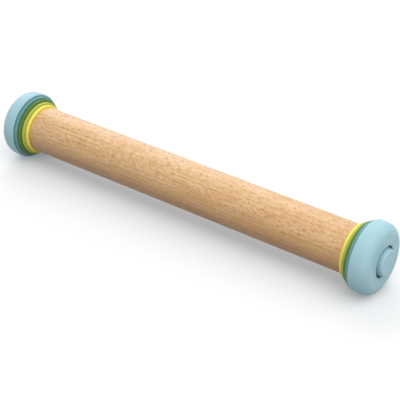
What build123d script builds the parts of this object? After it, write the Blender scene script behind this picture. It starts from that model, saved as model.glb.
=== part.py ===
from build123d import *
import math
import os

# Adjustable rolling pin, lying along X with its middle at the origin. Millimetres, +Z up.
# Each end has five discs, threaded on the knob's hollow screw, and a knob that clamps them.

# Roller
roller_radius = 22.5
roller_length = 355.4
roller_end_chamfer = 0.6

# How far each disc lifts the roller off the board
yellow_lift = 2.0
lime_lift = 4.0
green_lift = 6.0
teal_lift = 8.0
sky_lift = 10.0

# Thin discs
thin_disc_thickness = 3.1
thin_disc_edge_round = 0.9

# Thick domed disc: a hollow moulding closed by a flat back plate
sky_disc_thickness = 17.2
sky_disc_wall = 2.4
sky_disc_rim_arc_radius = 40.0
sky_disc_rim_peak = 4.5
sky_disc_shoulder_radius = 9.2
sky_disc_edge_round = 0.8
back_plate_thickness = 2.2

# Recess for the knob, with a finger notch on each side of it
recess_depth = 5.2
recess_mouth_round = 0.4
finger_notch_radius = 7.5
finger_notch_reach = 2.0
finger_notch_depth = 4.2
finger_notch_count = 2
finger_notch_angle = 48.0

# Knob cap
knob_radius = 12.9
knob_taper = 0.7
knob_stand = 4.4
knob_top_wall = 1.9
knob_wall = 1.4
knob_edge_round = 1.0

# Threaded core of the knob and the sleeve that it screws into
screw_inset = 2.9
screw_wall = 3.5
screw_end_chamfer = 0.8
thread_lead = 4.0
thread_turns = 6
thread_last_hold = 1.0
sleeve_wall = 3.0
sleeve_flange_reach = 4.0
sleeve_flange_thickness = 1.6
sleeve_key_width = 2.0
sleeve_key_height = 1.0
sleeve_key_count = 3

# Slip washer under the knob
washer_thickness = 0.8
washer_edge_margin = 0.3

# Clearances
face_gap = 0.1
thread_gap = 0.08
disc_slip_gap = 0.3
seat_gap = 0.05
knob_gap = 0.3
well_gap = 0.6
well_end_gap = 3.0
cut_overrun = 1.0
pick_tolerance = 0.05

# Places along the right end, measured from the middle of the pin
roller_end = roller_length / 2
disc_pitch = thin_disc_thickness + face_gap
thin_lifts = {
    "yellow_disc": yellow_lift,
    "lime_disc": lime_lift,
    "green_disc": green_lift,
    "teal_disc": teal_lift,
}
sky_disc_start = roller_end + face_gap + len(thin_lifts) * disc_pitch
sky_disc_face = sky_disc_start + sky_disc_thickness
recess_floor = sky_disc_face - recess_depth
washer_start = recess_floor + face_gap
knob_start = washer_start + washer_thickness + face_gap
knob_face = sky_disc_face + knob_stand

# Screw travel, from clamped to the last hold of the thread
screw_travel = thread_lead * thread_turns
screw_end = roller_end - screw_travel - thread_last_hold
sleeve_length = roller_end - screw_end

# With only the yellow disc on, the screw reaches this much deeper into the roller
spare_depth = sky_disc_face - roller_end - disc_pitch
well_depth = sleeve_length + spare_depth + well_end_gap

# Radii that follow the fits
screw_radius = knob_radius - screw_inset
screw_bore_radius = screw_radius - screw_wall
disc_bore_radius = screw_radius + disc_slip_gap
sleeve_bore_radius = screw_radius + thread_gap
sleeve_radius = sleeve_bore_radius + sleeve_wall
sleeve_flange_radius = sleeve_radius + sleeve_flange_reach
well_radius = screw_radius + well_gap
knob_top_radius = knob_radius - knob_taper
recess_radius = knob_radius + knob_gap
notch_outer_radius = recess_radius + finger_notch_reach
core_head_radius = knob_top_radius - knob_wall
core_head_end = knob_face - knob_top_wall
sky_disc_radius = roller_radius + sky_lift
rim_arc_centre = sky_disc_radius - sky_disc_rim_arc_radius
sky_disc_back_radius = rim_arc_centre + math.sqrt(sky_disc_rim_arc_radius**2 - sky_disc_rim_peak**2)
hollow_radius = sky_disc_back_radius - sky_disc_wall


def bar(start, end, radius):
    """A solid round bar along X."""
    rod = Cylinder(radius, end - start, align=(Align.CENTER, Align.CENTER, Align.MIN))
    return Pos(start, 0, 0) * Rot(0, 90, 0) * rod


def ring(start, end, outer_radius, inner_radius):
    """A round bar along X with a bore right through it."""
    return bar(start, end, outer_radius) - bar(start, end, inner_radius)


def rims(solid, place, radius):
    """The round edges of a turned solid at one place along X and of one radius."""
    found = []
    for edge in solid.edges():
        if not edge.is_closed:
            continue
        middle = edge.center(CenterOf.BOUNDING_BOX)
        reach = edge.bounding_box().size.Z / 2
        if abs(middle.X - place) < pick_tolerance and abs(reach - radius) < pick_tolerance:
            found.append(edge)
    return found


def sleeve_keys(gap):
    """The ribs outside the sleeve that stop it turning in the wood, grown by a gap."""
    length = sleeve_length - sleeve_flange_thickness
    reach = sleeve_radius + sleeve_key_height + gap
    block = Box(length + gap, reach, sleeve_key_width + 2 * gap, align=(Align.MAX, Align.MIN, Align.CENTER))
    keys = Part()
    for number in range(sleeve_key_count):
        turn = number * 360 / sleeve_key_count
        keys += Rot(turn, 0, 0) * Pos(roller_end - sleeve_flange_thickness, 0, 0) * block
    return keys


def end_well():
    """What is bored out of the roller's right end: seats for the sleeve, and room for the screw."""
    flange_seat = bar(
        roller_end - sleeve_flange_thickness - seat_gap,
        roller_end + cut_overrun,
        sleeve_flange_radius + seat_gap,
    )
    sleeve_seat = bar(roller_end - sleeve_length - seat_gap, roller_end, sleeve_radius + seat_gap)
    screw_room = bar(roller_end - well_depth, roller_end, well_radius)
    return flange_seat + sleeve_seat + screw_room + sleeve_keys(seat_gap)


def roller():
    """The beech cylinder, bored at both ends."""
    wood = bar(-roller_end, roller_end, roller_radius)
    for place in (-roller_end, roller_end):
        wood = chamfer(rims(wood, place, roller_radius), roller_end_chamfer)
    well = end_well()
    return wood - well - Rot(0, 0, 180) * well


def threaded_sleeve():
    """The flanged, keyed bush in the roller's end."""
    tube = bar(roller_end - sleeve_length, roller_end, sleeve_radius)
    flange = bar(roller_end - sleeve_flange_thickness, roller_end, sleeve_flange_radius)
    bore = bar(roller_end - sleeve_length - cut_overrun, roller_end + cut_overrun, sleeve_bore_radius)
    return tube + flange + sleeve_keys(0) - bore


def thin_disc(number, lift):
    """One flat disc with a rounded rim, counted outwards from the roller."""
    start = roller_end + face_gap + number * disc_pitch
    end = start + thin_disc_thickness
    radius = roller_radius + lift
    disc = ring(start, end, radius, disc_bore_radius)
    for place in (start, end):
        disc = fillet(rims(disc, place, radius), thin_disc_edge_round)
    return disc


def sky_disc_body():
    """The outer form of the thick disc: a bulged rim, a round shoulder and a flat face."""
    face_run = sky_disc_thickness - sky_disc_rim_peak
    face_radius = rim_arc_centre + math.sqrt(sky_disc_rim_arc_radius**2 - face_run**2)
    rim = ThreePointArc(
        (sky_disc_start, sky_disc_back_radius),
        (sky_disc_start + sky_disc_rim_peak, sky_disc_radius),
        (sky_disc_face, face_radius),
    )
    walls = Polyline(
        (sky_disc_face, face_radius),
        (sky_disc_face, 0),
        (sky_disc_start, 0),
        (sky_disc_start, sky_disc_back_radius),
    )
    body = revolve(make_face(rim + walls), Axis.X)
    body = fillet(rims(body, sky_disc_face, face_radius), sky_disc_shoulder_radius)
    return fillet(rims(body, sky_disc_start, sky_disc_back_radius), sky_disc_edge_round)


def sky_disc_shell():
    """The domed moulding with its hollow back, its hub and the recess for the knob."""
    hollow_end = sky_disc_face - sky_disc_wall
    hub_start = sky_disc_start + back_plate_thickness + seat_gap
    hollow = bar(sky_disc_start - cut_overrun, hollow_end, hollow_radius)
    inner_round = sky_disc_shoulder_radius - sky_disc_wall
    hollow = fillet(rims(hollow, hollow_end, hollow_radius), inner_round)
    hub = bar(hub_start, hollow_end, disc_bore_radius + sky_disc_wall)
    housing = bar(recess_floor - sky_disc_wall, hollow_end, notch_outer_radius + sky_disc_wall)
    shell = sky_disc_body() - (hollow - hub - housing)
    shell -= bar(sky_disc_start - cut_overrun, sky_disc_face, disc_bore_radius)
    shell -= recess()
    return fillet(mouth_edges(shell), recess_mouth_round)


def mouth_edges(shell):
    """The edges where the recess and its notches open on the disc's face."""
    found = []
    for edge in shell.edges():
        box = edge.bounding_box()
        flat_on_face = abs(box.min.X - sky_disc_face) < pick_tolerance and box.size.X < pick_tolerance
        if flat_on_face and (edge @ 0).Y ** 2 + (edge @ 0).Z ** 2 < (notch_outer_radius + pick_tolerance) ** 2:
            found.append(edge)
    return found


def recess():
    """The knob's recess, and the finger notches beside it."""
    mouth = sky_disc_face + cut_overrun
    cut = bar(recess_floor, mouth, recess_radius)
    notch_centre = notch_outer_radius - finger_notch_radius
    notch = Pos(0, notch_centre, 0) * bar(sky_disc_face - finger_notch_depth, mouth, finger_notch_radius)
    for number in range(finger_notch_count):
        turn = finger_notch_angle + number * 360 / finger_notch_count
        cut += Rot(turn, 0, 0) * notch
    return cut


def sky_disc_back():
    """The flat plate that closes the thick disc on the roller's side."""
    end = sky_disc_start + back_plate_thickness
    return ring(sky_disc_start, end, hollow_radius - seat_gap, disc_bore_radius)


def slip_washer():
    """The thin washer on the recess floor, which lets the knob turn without the disc."""
    outer = recess_radius - washer_edge_margin
    return ring(washer_start, washer_start + washer_thickness, outer, disc_bore_radius)


def knob_screw():
    """The hollow threaded core of the knob, with the solid head that carries the cap."""
    shank = bar(screw_end, knob_start, screw_radius)
    shank = chamfer(rims(shank, screw_end, screw_radius), screw_end_chamfer)
    head = bar(knob_start, core_head_end - seat_gap, core_head_radius - seat_gap)
    bore = bar(screw_end - cut_overrun, knob_start, screw_bore_radius)
    return shank + head - bore


def knob_cap():
    """The round cap that the fingers turn, with a slight taper above the disc's face."""
    outline = Polyline(
        (knob_start, 0),
        (knob_start, knob_radius),
        (sky_disc_face, knob_radius),
        (knob_face, knob_top_radius),
        (knob_face, 0),
        close=True,
    )
    cap = revolve(make_face(outline), Axis.X)
    cap = fillet(rims(cap, knob_face, knob_top_radius), knob_edge_round)
    return cap - bar(knob_start - cut_overrun, core_head_end, core_head_radius)


def end_pieces():
    """Every piece of the right end, by name."""
    pieces = {"threaded_sleeve": threaded_sleeve()}
    for number, (name, lift) in enumerate(thin_lifts.items()):
        pieces[name] = thin_disc(number, lift)
    pieces["sky_disc_shell"] = sky_disc_shell()
    pieces["sky_disc_back"] = sky_disc_back()
    pieces["slip_washer"] = slip_washer()
    pieces["knob_screw"] = knob_screw()
    pieces["knob_cap"] = knob_cap()
    return pieces


def main():
    os.makedirs("parts", exist_ok=True)
    export_step(roller(), "parts/roller.step")
    # The left end is the right end turned half round, so its thread has the same hand
    for name, piece in end_pieces().items():
        export_step(piece, f"parts/right_{name}.step")
        export_step(Rot(0, 0, 180) * piece, f"parts/left_{name}.step")
    print("disc bore radius", disc_bore_radius, "knob face at", knob_face)
    print("screw travel", screw_travel, "screw end", screw_end, "well depth", well_depth)


main()
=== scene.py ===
import math
import bpy
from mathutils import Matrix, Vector


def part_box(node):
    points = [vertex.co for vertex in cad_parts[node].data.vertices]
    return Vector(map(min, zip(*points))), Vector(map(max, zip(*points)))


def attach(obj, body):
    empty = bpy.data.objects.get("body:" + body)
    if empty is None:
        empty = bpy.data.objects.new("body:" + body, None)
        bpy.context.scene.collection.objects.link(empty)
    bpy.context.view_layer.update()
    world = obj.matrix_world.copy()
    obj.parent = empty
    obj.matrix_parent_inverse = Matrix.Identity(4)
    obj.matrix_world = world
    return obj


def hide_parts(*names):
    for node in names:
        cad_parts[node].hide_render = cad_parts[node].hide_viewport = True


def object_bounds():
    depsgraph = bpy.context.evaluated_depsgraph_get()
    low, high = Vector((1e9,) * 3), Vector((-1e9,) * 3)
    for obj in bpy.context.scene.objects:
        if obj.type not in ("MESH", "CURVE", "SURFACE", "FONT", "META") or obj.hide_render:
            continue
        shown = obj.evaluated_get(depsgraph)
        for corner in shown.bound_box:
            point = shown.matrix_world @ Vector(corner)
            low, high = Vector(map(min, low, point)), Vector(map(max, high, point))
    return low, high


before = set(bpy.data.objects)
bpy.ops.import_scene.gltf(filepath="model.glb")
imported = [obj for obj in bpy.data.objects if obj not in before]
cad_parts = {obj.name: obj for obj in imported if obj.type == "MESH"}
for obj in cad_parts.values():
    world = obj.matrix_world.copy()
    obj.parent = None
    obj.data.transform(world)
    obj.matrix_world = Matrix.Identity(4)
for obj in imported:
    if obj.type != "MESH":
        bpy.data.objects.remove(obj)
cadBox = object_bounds()
print("frame loaded,", len(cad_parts), "nodes")

mm = 0.001
fullTurn = 2 * math.pi
sides = {"left": math.pi, "right": 0.0}  # each end's turn about Z, the copied end first
mergeGap = 0.002 * mm  # points nearer than this are one
bevelSegments = 3
bevelAngle = 40  # degrees, sharper edges are rounded


# Small helpers for modelling

def tone(red, green, blue):
    # a colour from 0 to 255, as a linear colour with alpha
    linear = []
    for value in (red, green, blue):
        share = value / 255
        linear.append(share / 12.92 if share <= 0.04045 else ((share + 0.055) / 1.055) ** 2.4)
    return (*linear, 1.0)


def arcPoints(centre, radius, startAngle, endAngle, count):
    # points on an arc in a profile, angles in degrees from +X outwards
    points = []
    for number in range(count + 1):
        angle = math.radians(startAngle + (endAngle - startAngle) * number / count)
        points.append((centre[0] + radius * math.cos(angle), centre[1] + radius * math.sin(angle)))
    return points


def selectOnly(piece):
    bpy.ops.object.select_all(action="DESELECT")
    bpy.context.view_layer.objects.active = piece
    piece.select_set(True)


def turnPiece(name, profile, closed, steps):
    # traces a profile of (x, radius) by extruding one point, then spins it about X
    bpy.ops.object.select_all(action="DESELECT")
    bpy.ops.mesh.primitive_plane_add(size=mm, location=(0, 0, 0))
    piece = bpy.context.object
    piece.name = piece.data.name = name
    bpy.ops.object.mode_set(mode="EDIT")
    bpy.ops.mesh.select_mode(type="VERT")
    bpy.ops.mesh.select_all(action="SELECT")
    bpy.ops.mesh.merge(type="CENTER")
    bpy.ops.transform.translate(value=(profile[0][0], 0, profile[0][1]))
    trace = profile + profile[:1] if closed else profile
    for here, there in zip(trace, trace[1:]):
        step = (there[0] - here[0], 0, there[1] - here[1])
        bpy.ops.mesh.extrude_region_move(TRANSFORM_OT_translate={"value": step})
    bpy.ops.mesh.select_all(action="SELECT")
    bpy.ops.mesh.remove_doubles(threshold=mergeGap)
    bpy.ops.mesh.spin(
        steps=steps, angle=fullTurn, center=(0, 0, 0), axis=(1, 0, 0), use_auto_merge=True
    )
    bpy.ops.mesh.select_all(action="SELECT")
    bpy.ops.mesh.remove_doubles(threshold=mergeGap)
    bpy.ops.mesh.normals_make_consistent(inside=False)
    bpy.ops.object.mode_set(mode="OBJECT")
    return piece


def finishPiece(piece, bevel, smoothAngle):
    # rounds the sharp edges where a bevel is asked for, then shades smooth up to an angle
    selectOnly(piece)
    if bevel:
        rounding = piece.modifiers.new("edge round", "BEVEL")
        rounding.width = bevel
        rounding.segments = bevelSegments
        rounding.limit_method = "ANGLE"
        rounding.angle_limit = math.radians(bevelAngle)
        bpy.ops.object.modifier_apply(modifier=rounding.name)
    bpy.ops.object.shade_smooth_by_angle(angle=math.radians(smoothAngle))
    piece.select_set(False)


def toSide(piece, side, name):
    # the piece for one end: the right one as it is, the left one as a copy turned half round
    if side == "right":
        piece.name = piece.data.name = name
        return piece
    selectOnly(piece)
    bpy.ops.object.duplicate(linked=False)
    copy = bpy.context.object
    copy.name = copy.data.name = name
    copy.rotation_euler = (0, 0, sides[side])
    bpy.ops.object.transform_apply(location=True, rotation=True, scale=True)
    copy.select_set(False)
    return copy


def place(piece, materials, slot, body, node):
    # the piece's finish, the body that it rides on and the CAD node that it stands for
    piece.data.materials.clear()
    piece.data.materials.append(materials[slot])
    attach(piece, body)
    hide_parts(node)


def placeAtEnds(piece, name, materials, slot, body, node):
    # one piece for each end of the pin, with the side before each name
    for side in sides:
        copy = toSide(piece, side, f"{side}{name}")
        place(copy, materials, slot, f"{side}_{body}", f"{side}_{node}")


# Small helpers for shader trees

def setInputs(tree, node, values):
    # sets inputs by name, or links them where the value is another node's output
    for label, value in values.items():
        if isinstance(value, bpy.types.NodeSocket):
            tree.links.new(value, node.inputs[label])
        else:
            node.inputs[label].default_value = value
    return node


def addPlace(tree):
    return tree.nodes.new("ShaderNodeTexCoord").outputs["Object"]


def addNoise(tree, vector, scale, detail, roughness=0.5):
    values = {"Vector": vector, "Scale": scale, "Detail": detail, "Roughness": roughness}
    return setInputs(tree, tree.nodes.new("ShaderNodeTexNoise"), values).outputs["Fac"]


def addStretch(tree, vector, scale, location=(0, 0, 0)):
    values = {"Vector": vector, "Scale": scale, "Location": location}
    return setInputs(tree, tree.nodes.new("ShaderNodeMapping"), values).outputs["Vector"]


def addStretchedNoise(tree, vector, stretch, detail, roughness=0.5):
    return addNoise(tree, addStretch(tree, vector, stretch), 1.0, detail, roughness)


def addRange(tree, value, low, high, toLow, toHigh):
    values = {"Value": value, "From Min": low, "From Max": high, "To Min": toLow, "To Max": toHigh}
    return setInputs(tree, tree.nodes.new("ShaderNodeMapRange"), values).outputs["Result"]


def addMath(tree, operation, *values):
    maths = tree.nodes.new("ShaderNodeMath")
    maths.operation = operation
    return setInputs(tree, maths, dict(enumerate(values))).outputs[0]


def addMix(tree, factor, first, second, blend="MIX"):
    mix = tree.nodes.new("ShaderNodeMix")
    mix.data_type = "RGBA"
    mix.blend_type = blend
    return setInputs(tree, mix, {"Factor": factor, "A": first, "B": second}).outputs["Result"]


def addBump(tree, height, strength, distance):
    values = {"Height": height, "Strength": strength, "Distance": distance}
    return setInputs(tree, tree.nodes.new("ShaderNodeBump"), values).outputs["Normal"]


def newMaterial(name):
    material = bpy.data.materials.new(name)
    material.use_nodes = True
    return material, material.node_tree, material.node_tree.nodes["Principled BSDF"]


# Camera and light

view = {
    "place": (0.59912, -0.78025, 0.59525),
    "direction": (-0.5089, 0.6798, -0.5281),
    "lens": 112.34,
    "sensor": 36,
    "nearest": 0.02,
}
lamps = {
    "rightSoftbox": {"place": (0.75, -0.45, 1.65), "size": 1.8, "power": 17.3},
    "backSoftbox": {"place": (-1.2, 1.1, 1.2), "size": 1.8, "power": 17.6},
    "sideSoftbox": {"place": (1.7, -0.2, 0.55), "size": 1.4, "power": 2.25},
}
light = {
    "ambient": 0.627,
    "tableSize": 8,
    "tableRoughness": 0.9,
    "tableSpecular": 0.1,
    "tableBounce": (0.36, 0.36, 0.36, 1),  # what the table throws back on the object
    "tableColour": (0.739, 0.714, 0.695, 1),
    "tableGlow": (0.761, 0.894, 1, 1),
    "glowPower": 0.2326,
    "whiteFrom": (0.45, 1.3),  # metres from the pin's middle, where the glow grows to full
}


def addCamera():
    turn = Vector(view["direction"]).to_track_quat("-Z", "Y").to_euler()
    bpy.ops.object.camera_add(location=view["place"], rotation=turn)
    camera = bpy.context.object
    camera.name = "photoCamera"
    camera.data.sensor_width = view["sensor"]
    camera.data.lens = view["lens"]
    camera.data.clip_start = view["nearest"]
    bpy.context.scene.camera = camera


def addSoftboxes():
    # square lamps, all turned to the middle of the pin
    for name, look in lamps.items():
        turn = (-Vector(look["place"])).to_track_quat("-Z", "Y").to_euler()
        bpy.ops.object.light_add(type="AREA", location=look["place"], rotation=turn)
        lamp = bpy.context.object
        lamp.name = name
        lamp.data.shape = "SQUARE"
        lamp.data.size = look["size"]
        lamp.data.energy = look["power"]


def addSeenRays(tree):
    # 1 where the camera, a reflection or clear material looks, 0 where light is only bounced
    rays = tree.nodes.new("ShaderNodeLightPath")
    seen = rays.outputs["Is Camera Ray"]
    for kind in ("Is Glossy Ray", "Is Transmission Ray"):
        seen = addMath(tree, "MAXIMUM", seen, rays.outputs[kind])
    return seen


def addWorld():
    # grey daylight for the object, plain white where something looks past it
    world = bpy.data.worlds.new("studio")
    bpy.context.scene.world = world
    world.use_nodes = True
    tree = world.node_tree
    strength = addRange(tree, addSeenRays(tree), 0.0, 1.0, light["ambient"], 1.0)
    setInputs(tree, tree.nodes["Background"], {"Color": (1, 1, 1, 1), "Strength": strength})


def addTable():
    # a white table top that keeps the shadow and turns plain white further off
    bpy.ops.mesh.primitive_plane_add(size=light["tableSize"], location=(0, 0, cadBox[0][2]))
    floor = bpy.context.object
    floor.name = "tableTop"
    material, tree, surface = newMaterial("whiteTable")
    away = tree.nodes.new("ShaderNodeVectorMath")
    away.operation = "LENGTH"
    setInputs(tree, away, {0: addPlace(tree)})
    glow = addRange(tree, away.outputs["Value"], *light["whiteFrom"], light["glowPower"], 1.0)
    seen = addSeenRays(tree)
    setInputs(tree, surface, {
        "Base Color": addMix(tree, seen, light["tableBounce"], light["tableColour"]),
        "Roughness": light["tableRoughness"],
        "Specular IOR Level": light["tableSpecular"],
        "Emission Color": light["tableGlow"],
        "Emission Strength": addMath(tree, "MULTIPLY", seen, glow),
    })
    floor.data.materials.append(material)


# Shader groups that the finishes share

def newGroup(name, inputs, outputs):
    # an empty group, where four numbers make a colour input and one makes a value input
    tree = bpy.data.node_groups.new(name, "ShaderNodeTree")
    for label, value in inputs.items():
        kind = "NodeSocketColor" if isinstance(value, tuple) else "NodeSocketFloat"
        socket = tree.interface.new_socket(name=label, in_out="INPUT", socket_type=kind)
        socket.default_value = value
    for label in outputs:
        kind = "NodeSocketColor" if label == "Colour" else "NodeSocketFloat"
        tree.interface.new_socket(name=label, in_out="OUTPUT", socket_type=kind)
    return tree, tree.nodes.new("NodeGroupInput").outputs, tree.nodes.new("NodeGroupOutput")


def addGroup(tree, group, values):
    placed = tree.nodes.new("ShaderNodeGroup")
    placed.node_tree = group
    return setInputs(tree, placed, values).outputs


# A noise is given as its scale and detail, a range as low, high and what these two become
moulding = {
    "grainScale": 2600.0,
    "grainDetail": 2.0,
    "cloudNoise": (38.0, 3.0),
    "cloudRange": (0.35, 0.7, 0.0, 8.0),
    "cloudTint": (0.86, 0.88, 0.9, 1),
    "rubbedNoise": (90.0, 4.0),
    "rubbedRange": (0.35, 0.7, 0.36, 0.46),
}
# where edge wear and the painted edge highlight fall
wearingAndHighlight = {
    "edgeRange": (0.52, 0.62, 0.0, 1.0),
    "brokenNoise": (420.0, 3.0),
    "brokenRange": (0.4, 0.62, 0.2, 1.0),
}
shading = {"samples": 12, "closedShare": 0.45}


def buildMouldedGrain():
    # satin moulding: faint clouds in the colour, fine spark-eroded grain, rubbed patches
    inputs = {"Colour": (1, 1, 1, 1), "Clouds": 0.05, "Grain": moulding["grainScale"]}
    tree, enter, leave = newGroup("mouldedGrain", inputs, ("Colour", "Roughness", "Height"))
    where = addPlace(tree)
    darker = addMix(tree, 1.0, enter["Colour"], moulding["cloudTint"], "MULTIPLY")
    clouds = addRange(tree, addNoise(tree, where, *moulding["cloudNoise"]), *moulding["cloudRange"])
    patches = addMath(tree, "MULTIPLY", clouds, enter["Clouds"])
    rubbed = addNoise(tree, where, *moulding["rubbedNoise"])
    setInputs(tree, leave, {
        "Colour": addMix(tree, patches, enter["Colour"], darker),
        "Roughness": addRange(tree, rubbed, *moulding["rubbedRange"]),
        "Height": addNoise(tree, where, enter["Grain"], moulding["grainDetail"]),
    })
    return tree


def buildEdgeWearAndHighlight():
    # lightens a colour along the piece's convex edges, broken up by a noise: partly edge wear,
    # partly a painted highlight where rounded edges catch the light
    inputs = {"Colour": (1, 1, 1, 1), "Worn And Highlit Colour": (1, 1, 1, 1), "Amount": 0.3}
    tree, enter, leave = newGroup("edgeWearAndHighlight", inputs, ("Colour",))
    edge = tree.nodes.new("ShaderNodeNewGeometry").outputs["Pointiness"]
    mask = addRange(tree, edge, *wearingAndHighlight["edgeRange"])
    patches = addNoise(tree, addPlace(tree), *wearingAndHighlight["brokenNoise"])
    broken = addRange(tree, patches, *wearingAndHighlight["brokenRange"])
    wornAndHighlit = addMath(tree, "MULTIPLY", addMath(tree, "MULTIPLY", mask, broken), enter["Amount"])
    setInputs(tree, leave, {"Colour": addMix(tree, wornAndHighlit, enter["Colour"], enter["Worn And Highlit Colour"])})
    return tree


def buildCornerShade():
    # paints shade into a colour where two parts meet in a corner
    inputs = {"Colour": (1, 1, 1, 1), "Painted Shade Colour": (0.5, 0.5, 0.5, 1)}
    inputs.update({"Reach": 4 * mm, "Amount": 0.5, "Open": 0.78})
    tree, enter, leave = newGroup("cornerShade", inputs, ("Colour",))
    corner = tree.nodes.new("ShaderNodeAmbientOcclusion")
    corner.samples = shading["samples"]
    setInputs(tree, corner, {"Distance": enter["Reach"]})
    openness = corner.outputs["AO"]
    paintedShade = addRange(tree, openness, shading["closedShare"], enter["Open"], enter["Amount"], 0.0)
    shaded = addMix(tree, paintedShade, enter["Colour"], enter["Painted Shade Colour"], "MULTIPLY")
    setInputs(tree, leave, {"Colour": shaded})
    return tree


def addCornerShade(tree, groups, colour, paintedShadeColour, shade):
    # shade holds the reach, the amount, and how open a place may be and still be shaded
    values = {"Colour": colour, "Painted Shade Colour": paintedShadeColour}
    values.update(zip(("Reach", "Amount", "Open"), shade))
    return addGroup(tree, groups["cornerShade"], values)["Colour"]


# Plastics

# each worn colour is the lighter tone of edge wear and of the painted highlight on convex edges
plastics = {
    "sky_plastic": {
        "colour": tone(170, 208, 217),
        "wornAndHighlit": tone(204, 229, 234),
        # the colour that the painted shade in the sky plastic's corners multiplies in
        "paintedShade": (0.36, 0.46, 0.49, 1),
        "clouds": 0.05,
        "shade": (8 * mm, 1.0, 0.92),
    },
    "teal_plastic": {
        "colour": tone(112, 163, 163),
        "wornAndHighlit": tone(150, 193, 191),
        "clouds": 0.06,
        "shade": (4 * mm, 0.5, 0.78),
    },
    "green_plastic": {
        "colour": tone(98, 136, 62),
        "wornAndHighlit": tone(140, 172, 100),
        "clouds": 0.06,
        "shade": (4 * mm, 0.5, 0.78),
    },
    "lime_plastic": {
        "colour": tone(190, 194, 92),
        "wornAndHighlit": tone(218, 220, 136),
        "clouds": 0.05,
        "shade": (4 * mm, 0.4, 0.78),
    },
    "yellow_plastic": {
        "colour": tone(252, 240, 112),
        "wornAndHighlit": tone(253, 246, 160),
        "clouds": 0.04,
        "shade": (4 * mm, 0.4, 0.78),
    },
    "white_nylon": {
        "colour": tone(226, 224, 216),
        "wornAndHighlit": tone(240, 239, 234),
        "clouds": 0.08,
        "shade": (4 * mm, 0.5, 0.78),
    },
}
# wear sets how much edge wear and painted edge highlight there is
satin = {"wearAndHighlight": 0.6, "bump": (0.12, 0.05 * mm), "specular": 0.15}


def buildPlastic(name, look, groups):
    material, tree, surface = newMaterial(name)
    base = {"Colour": look["colour"], "Clouds": look["clouds"]}
    grain = addGroup(tree, groups["mouldedGrain"], base)
    paintedShadeColour = look.get("paintedShade", look["colour"])
    # painted shade in corners and where parts meet
    shaded = addCornerShade(tree, groups, grain["Colour"], paintedShadeColour, look["shade"])
    wearAndHighlight = {"Colour": shaded, "Worn And Highlit Colour": look["wornAndHighlit"], "Amount": satin["wearAndHighlight"]}
    setInputs(tree, surface, {
        "Base Color": addGroup(tree, groups["edgeWearAndHighlight"], wearAndHighlight)["Colour"],
        "Roughness": grain["Roughness"],
        "Normal": addBump(tree, grain["Height"], *satin["bump"]),
        "Specular IOR Level": satin["specular"],
    })
    return material


# Beech

beech = {
    "pale": tone(236, 200, 154),
    "mid": tone(221, 175, 126),
    "dark": tone(195, 142, 68),
    "rosy": tone(210, 153, 100),
    "fleck": tone(152, 82, 12),
    # painted shade that darkens the roller's lower half
    "shadySide": (0.64, 0.555, 0.445, 1),
    "shadyRange": (11 * mm, -8 * mm, 0.0, 1.0),
    "pith": (0.0, 0.031, 0.052),
    "ringStretch": (0.12, 1, 1),
    "rings": {"Scale": 88.0, "Distortion": 5.0, "Detail": 3.0, "Detail Scale": 0.25},
    "ringRange": (0.1, 0.95, 0.2, 0.6),
    "broadNoise": ((14, 60, 60), 2.0),  # stretch and detail, and for the fibres roughness
    "broadRange": (0.5, 0.75, 0.0, 0.6),
    "fibreNoise": ((32, 900, 900), 5.0, 0.6),
    "fibreRange": (0.44, 0.76, 0.0, 0.8),
    "gritNoise": ((420, 1300, 1300), 2.0),
    "gritRange": (0.5, 0.8, 0.0, 0.5),
    "fineFlecks": {"perMetre": (100, 1140), "range": (0.26, 0.15, 0.0, 1.0), "strength": 0.85},
    "darkFlecks": {"perMetre": (74, 540), "range": (0.15, 0.09, 0.0, 1.0), "strength": 1.0},
    "fleckSlant": 0.28,
    "fleckVariety": (0.2, 0.8, 0.3, 1.0),
    "flatSawnRange": (0.0, 10 * mm, 0.35, 1.0),
    "roughRange": (0.3, 0.8, 0.34, 0.5),
    "poreShare": 0.5,
    "bump": (0.25, 0.08 * mm),
    "specular": 0.6,
    "shade": (2.2 * mm, 0.85, 0.78),
}


def addFlecks(tree, where, look):
    # short dashes all round the roller, a little askew to its length, some stronger than others
    lengthwise, crosswise = look["perMetre"]
    parts = setInputs(tree, tree.nodes.new("ShaderNodeSeparateXYZ"), {0: where}).outputs
    turn = addMath(tree, "ARCTAN2", parts["Y"], parts["Z"])
    slant = addMath(tree, "MULTIPLY", parts["X"], beech["fleckSlant"])
    across = addMath(tree, "ADD", addMath(tree, "MULTIPLY", turn, rollerSize["radius"]), slant)
    spread = setInputs(tree, tree.nodes.new("ShaderNodeCombineXYZ"), {
        "X": addMath(tree, "MULTIPLY", parts["X"], lengthwise),
        "Y": addMath(tree, "MULTIPLY", across, crosswise),
    })
    cells = tree.nodes.new("ShaderNodeTexVoronoi")
    cells.voronoi_dimensions = "2D"
    setInputs(tree, cells, {"Scale": 1.0, "Vector": spread.outputs["Vector"]})
    dashes = addRange(tree, cells.outputs["Distance"], *look["range"])
    variety = addRange(tree, cells.outputs["Color"], *beech["fleckVariety"])
    return addMath(tree, "MULTIPLY", addMath(tree, "MULTIPLY", dashes, variety), look["strength"])


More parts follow.
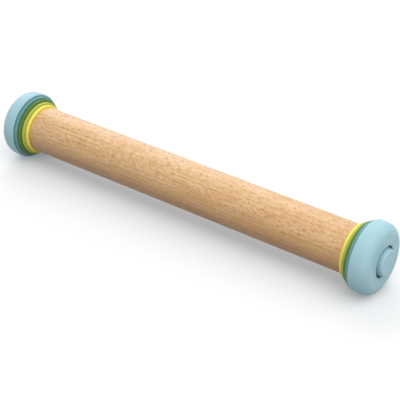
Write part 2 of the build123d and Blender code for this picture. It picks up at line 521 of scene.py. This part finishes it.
def buildBeech(groups):
    # growth rings cut lengthwise, fine fibres, short dark flecks, and open pores in the bump
    material, tree, surface = newMaterial("beech")
    where = addPlace(tree)

    rings = tree.nodes.new("ShaderNodeTexWave")
    rings.wave_type = "RINGS"
    rings.rings_direction = "X"
    rings.wave_profile = "SIN"
    setInputs(tree, rings, {"Vector": addStretch(tree, where, beech["ringStretch"], beech["pith"])})
    setInputs(tree, rings, beech["rings"])
    broad = addStretchedNoise(tree, where, *beech["broadNoise"])
    fibre = addStretchedNoise(tree, where, *beech["fibreNoise"])
    grit = addStretchedNoise(tree, where, *beech["gritNoise"])

    ringShare = addRange(tree, rings.outputs["Fac"], *beech["ringRange"])
    wood = addMix(tree, ringShare, beech["pale"], beech["mid"])
    wood = addMix(tree, addRange(tree, broad, *beech["broadRange"]), wood, beech["rosy"])
    wood = addMix(tree, addRange(tree, fibre, *beech["fibreRange"]), wood, beech["dark"])
    wood = addMix(tree, addRange(tree, grit, *beech["gritRange"]), wood, beech["dark"])

    # flecks are weakest halfway up the two sides, and the lower half is darkened with painted shade
    height = setInputs(tree, tree.nodes.new("ShaderNodeSeparateXYZ"), {0: where}).outputs["Z"]
    flatSawn = addRange(tree, addMath(tree, "ABSOLUTE", height), *beech["flatSawnRange"])
    fineFlecks = addFlecks(tree, where, beech["fineFlecks"])
    darkFlecks = addFlecks(tree, where, beech["darkFlecks"])
    flecks = addMath(tree, "MULTIPLY", addMath(tree, "MAXIMUM", fineFlecks, darkFlecks), flatSawn)
    wood = addMix(tree, flecks, wood, beech["fleck"])
    shadyShare = addRange(tree, height, *beech["shadyRange"])
    wood = addMix(tree, shadyShare, wood, beech["shadySide"], "MULTIPLY")

    pores = addMath(tree, "SUBTRACT", addMath(tree, "MULTIPLY", fibre, beech["poreShare"]), flecks)
    # the base colour gets painted shade where the roller meets the discs
    setInputs(tree, surface, {
        "Base Color": addCornerShade(tree, groups, wood, wood, beech["shade"]),
        "Roughness": addRange(tree, fibre, *beech["roughRange"]),
        "Normal": addBump(tree, pores, *beech["bump"]),
        "Specular IOR Level": beech["specular"],
    })
    return material


# Roller

rollerSize = {
    "radius": 22.5 * mm,
    "chamfer": 0.7 * mm,
    "flangeSeat": (1.65 * mm, 17.15 * mm),  # depth and radius, as for the next two
    "sleeveSeat": (25.05 * mm, 14.2 * mm),
    "well": (54.9 * mm, 10.6 * mm),
    "edge": 0.25 * mm,
    "steps": 224,
    "smoothAngle": 35,
}


def buildRoller(materials):
    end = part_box("roller")[1][0]
    flangeDepth, flangeRadius = rollerSize["flangeSeat"]
    sleeveDepth, sleeveRadius = rollerSize["sleeveSeat"]
    wellDepth, wellRadius = rollerSize["well"]
    radius, chamfer = rollerSize["radius"], rollerSize["chamfer"]
    rightEnd = [
        (end - chamfer, radius),
        (end, radius - chamfer),
        (end, flangeRadius),
        (end - flangeDepth, flangeRadius),
        (end - flangeDepth, sleeveRadius),
        (end - sleeveDepth, sleeveRadius),
        (end - sleeveDepth, wellRadius),
        (end - wellDepth, wellRadius),
        (end - wellDepth, 0),
    ]
    leftEnd = [(-x, r) for x, r in reversed(rightEnd)]
    piece = turnPiece("turnedRoller", leftEnd + rightEnd, False, rollerSize["steps"])
    finishPiece(piece, rollerSize["edge"], rollerSize["smoothAngle"])
    place(piece, materials, "beech", "pin", "roller")
    print("roller turned")


# Thin discs

thinDiscs = {
    "yellow": {"radius": 24.5 * mm},
    "lime": {"radius": 26.5 * mm},
    "green": {"radius": 28.5 * mm},
    "teal": {"radius": 30.5 * mm},
}
discSize = {
    "bore": 10.3 * mm,
    "boreLip": 0.35 * mm,
    "edge": 0.9 * mm,
    "edgePoints": 5,
    "steps": 192,
    "smoothAngle": 30,
}


def buildThinDiscs(materials):
    bore, edge, lip = discSize["bore"], discSize["edge"], discSize["boreLip"]
    for colour, look in thinDiscs.items():
        low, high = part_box(f"right_{colour}_disc")
        start, end, radius = low[0], high[0], look["radius"]
        profile = [(start, bore + lip)]
        profile += arcPoints((start + edge, radius - edge), edge, 180, 90, discSize["edgePoints"])
        profile += arcPoints((end - edge, radius - edge), edge, 90, 0, discSize["edgePoints"])
        profile += [(end, bore + lip), (end - lip, bore), (start + lip, bore)]
        piece = turnPiece(f"{colour}Disc", profile, True, discSize["steps"])
        finishPiece(piece, 0, discSize["smoothAngle"])
        disc = f"{colour}_disc"
        placeAtEnds(piece, f"{colour.capitalize()}Disc", materials, f"{colour}_plastic", disc, disc)
    print("thin discs turned")


# Thick domed disc

skySize = {
    "radius": 32.5 * mm,
    "wall": 2.4 * mm,
    "rimArc": 40.0 * mm,
    "rimPeak": 4.5 * mm,
    "shoulder": 9.2 * mm,
    "edge": 0.8 * mm,
    "edgeEnd": 100,  # degrees at which the back edge's rounding stops
    "rimStart": 1.6,  # degrees of the rim's arc that this rounding takes up
    "backPlate": 2.25 * mm,
    "bore": 10.3 * mm,
    "recess": (5.2 * mm, 13.2 * mm),  # depth and radius
    "mouth": 0.4 * mm,
    "faceRows": (20 * mm, 17 * mm),  # rings of points that keep the face flat
    "mouthRow": 2.6 * mm,
    "notchRadius": 9.0 * mm,
    "notchReach": 1.4 * mm,
    "notchDepth": 4.2 * mm,
    "notchAngle": 48.0,
    "notchStep": 0.02 * mm,  # from the notch's floor down to the round wall
    "notchLevel": 0.005 * mm,  # points this far below the floor still go out with it
    "notchSlack": 0.1 * mm,
    "points": {"inside": 8, "edge": 5, "rim": 14, "shoulder": 24, "mouth": 4},
    "steps": 288,
    "smoothAngle": 32,
}


def shoulderArc(face):
    # centres of the rim's arc and of the shoulder, which touches that arc's inside and the face
    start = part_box("right_sky_disc_shell")[0][0]
    rimCentre = (start + skySize["rimPeak"], skySize["radius"] - skySize["rimArc"])
    x = face - skySize["shoulder"]
    reach = skySize["rimArc"] - skySize["shoulder"]
    r = rimCentre[1] + math.sqrt(reach**2 - (x - rimCentre[0]) ** 2)
    return rimCentre, (x, r)


def skyProfile():
    low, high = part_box("right_sky_disc_shell")
    start, face = low[0], high[0]
    rimCentre, shoulder = shoulderArc(face)
    wall, edge, mouth = skySize["wall"], skySize["edge"], skySize["mouth"]
    rimArc, points = skySize["rimArc"], skySize["points"]
    depth, recess = skySize["recess"]
    housing = recess + skySize["notchReach"] + wall
    hub = skySize["bore"] + wall
    backRadius = rimCentre[1] + math.sqrt(rimArc**2 - skySize["rimPeak"] ** 2)
    hollow = backRadius - wall
    innerRound = skySize["shoulder"] - wall
    tangent = math.degrees(math.atan2(shoulder[1] - rimCentre[1], shoulder[0] - rimCentre[0]))
    firstAngle = math.degrees(math.acos(-skySize["rimPeak"] / rimArc)) - skySize["rimStart"]
    innerCentre = (face - wall - innerRound, hollow - innerRound)
    edgeCentre = (start + edge, backRadius - edge)
    notchFloor = face - skySize["notchDepth"]

    # from the back plate's seat through the hollow, round the outside and down the recess
    profile = [(start + skySize["backPlate"], skySize["bore"]), (start + skySize["backPlate"], hub)]
    profile += [(face - depth - wall, hub), (face - depth - wall, housing), (face - wall, housing)]
    profile += arcPoints(innerCentre, innerRound, 0, 90, points["inside"])
    profile += [(start, hollow), (start, backRadius - edge)]
    profile += arcPoints(edgeCentre, edge, 180, skySize["edgeEnd"], points["edge"])[1:]
    profile += arcPoints(rimCentre, rimArc, firstAngle, tangent, points["rim"])
    profile += arcPoints(shoulder, skySize["shoulder"], tangent, 0, points["shoulder"])[1:]
    profile += [(face, row) for row in skySize["faceRows"]]
    profile += [(face, recess + mouth + skySize["mouthRow"])]
    profile += arcPoints((face - mouth, recess + mouth), mouth, 0, -90, points["mouth"])
    profile += [(notchFloor, recess), (notchFloor - skySize["notchStep"], recess)]
    profile += [(face - depth, recess), (face - depth, skySize["bore"])]
    return profile, notchFloor


def cutNotches(piece, notchFloor):
    # pushes the recess's wall out to two opposite finger notches
    recess, radius, slack = skySize["recess"][1], skySize["notchRadius"], skySize["notchSlack"]
    centre = recess + skySize["notchReach"] - radius
    mouthReach = recess + skySize["mouth"] + slack
    lowest = notchFloor - skySize["notchLevel"]
    for vertex in piece.data.vertices:
        x, y, z = vertex.co
        reach = math.hypot(y, z)
        if x < lowest or reach > mouthReach or reach < recess - slack:
            continue
        turn = math.atan2(z, y)
        off = turn - math.radians(skySize["notchAngle"])
        swing = abs(centre * math.sin(off))
        wall = abs(centre * math.cos(off)) + math.sqrt(max(radius**2 - swing**2, 0))
        if wall > recess:
            grown = reach + wall - recess
            vertex.co = (x, grown * math.cos(turn), grown * math.sin(turn))


def buildSkyDiscs(materials):
    profile, notchFloor = skyProfile()
    shell = turnPiece("skyDisc", profile, True, skySize["steps"])
    cutNotches(shell, notchFloor)
    finishPiece(shell, 0, skySize["smoothAngle"])
    placeAtEnds(shell, "SkyDisc", materials, "sky_plastic", "sky_disc", "sky_disc_shell")
    print("sky discs turned")


# Knob

capSize = {
    "radius": 12.9 * mm,
    "topRadius": 11.4 * mm,
    "round": 1.3 * mm,
    "roundPoints": 8,
    "foot": 0.3 * mm,
    "topWall": 1.9 * mm,
    "topRow": 0.6,  # share of the flat top's radius where it has a ring of points
    "inside": 10.8 * mm,
    "steps": 160,
    "smoothAngle": 32,
}
screwSize = {
    "crest": 10.0 * mm,
    "root": 9.0 * mm,
    "bore": 6.5 * mm,
    "headGap": 0.05 * mm,
    "lead": 4.0 * mm,
    "crestShare": 0.15,  # half a crest's width, as a share of the lead
    "flankShare": 0.14,
    "endChamfer": 0.8 * mm,
    "threadLength": 40.0 * mm,
    "rowsPerLead": 16,
    "steps": 96,
    "smoothAngle": 38,
}


def buildKnobCaps(materials):
    low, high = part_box("right_knob_cap")
    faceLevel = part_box("right_sky_disc_shell")[1][0]
    start, end = low[0], high[0]
    radius, top, foot = capSize["radius"], capSize["topRadius"], capSize["foot"]
    inside, rounding, innerTop = capSize["inside"], capSize["round"], end - capSize["topWall"]
    taper = math.atan2(radius - top, end - faceLevel)
    centre = (end - rounding, top - rounding * (1 - math.sin(taper)) / math.cos(taper))
    profile = [(innerTop, 0), (innerTop, inside), (start, inside)]
    profile += [(start, radius - foot), (start + foot, radius), (faceLevel, radius)]
    profile += arcPoints(centre, rounding, 90 - math.degrees(taper), 0, capSize["roundPoints"])
    profile += [(end, capSize["topRow"] * centre[1]), (end, 0)]
    cap = turnPiece("knobCap", profile, False, capSize["steps"])
    finishPiece(cap, 0, capSize["smoothAngle"])
    placeAtEnds(cap, "KnobCap", materials, "sky_plastic", "knob", "knob_cap")
    print("knob caps turned")


def carveThread(piece, start, end):
    # draws the shank's outside in along a right-hand helix, which runs out over a lead at each end
    crest, root, lead = screwSize["crest"], screwSize["root"], screwSize["lead"]
    for vertex in piece.data.vertices:
        x, y, z = vertex.co
        reach = math.hypot(y, z)
        if reach < root or x > end or x < start:
            continue
        turn = math.atan2(z, y)
        phase = (x / lead - turn / fullTurn) % 1
        offCrest = abs(phase - 0.5) - screwSize["crestShare"]
        flank = min(max(offCrest / screwSize["flankShare"], 0), 1)
        runIn = min((x - start) / lead, 1) * min((end - x) / lead, 1)
        reach = crest - (crest - root) * flank * max(runIn, 0)
        vertex.co = (x, reach * math.cos(turn), reach * math.sin(turn))


def buildScrews(materials):
    low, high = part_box("right_knob_screw")
    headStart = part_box("right_knob_cap")[0][0]
    start, end = low[0], high[0]
    crest, bore, chamfer = screwSize["crest"], screwSize["bore"], screwSize["endChamfer"]
    head = capSize["inside"] - screwSize["headGap"]
    threadStart = start + chamfer
    threadEnd = start + screwSize["threadLength"]
    rows = round((threadEnd - threadStart) / screwSize["lead"] * screwSize["rowsPerLead"])
    profile = [(headStart, 0), (headStart, bore), (start, bore), (start, crest - chamfer)]
    for row in range(rows + 1):
        profile.append((threadStart + (threadEnd - threadStart) * row / rows, crest))
    profile += [(headStart, crest), (headStart, head), (end, head), (end, 0)]
    screw = turnPiece("knobScrew", profile, False, screwSize["steps"])
    carveThread(screw, threadStart, threadEnd)
    finishPiece(screw, 0, screwSize["smoothAngle"])
    placeAtEnds(screw, "KnobScrew", materials, "sky_plastic", "knob", "knob_screw")
    print("screws threaded")


# CAD nodes whose shape is right, and the finish they get

innerNodes = {
    "threaded_sleeve": "white_nylon",
    "slip_washer": "white_nylon",
    "sky_disc_back": "sky_plastic",
}


def dressInnerNodes(materials):
    for side in sides:
        for name, finish in innerNodes.items():
            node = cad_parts[f"{side}_{name}"]
            node.data.materials.clear()
            node.data.materials.append(materials[finish])
    print("inner nodes dressed")


def buildScene():
    addCamera()
    addWorld()
    addSoftboxes()
    addTable()
    print("camera, light and table set")
    groups = {
        "mouldedGrain": buildMouldedGrain(),
        "edgeWearAndHighlight": buildEdgeWearAndHighlight(),
        "cornerShade": buildCornerShade(),
    }
    materials = {name: buildPlastic(name, look, groups) for name, look in plastics.items()}
    materials["beech"] = buildBeech(groups)
    print("finishes mixed")
    buildRoller(materials)
    buildThinDiscs(materials)
    buildSkyDiscs(materials)
    buildKnobCaps(materials)
    buildScrews(materials)
    dressInnerNodes(materials)
    bpy.context.scene.view_settings.view_transform = "Standard"


buildScene()
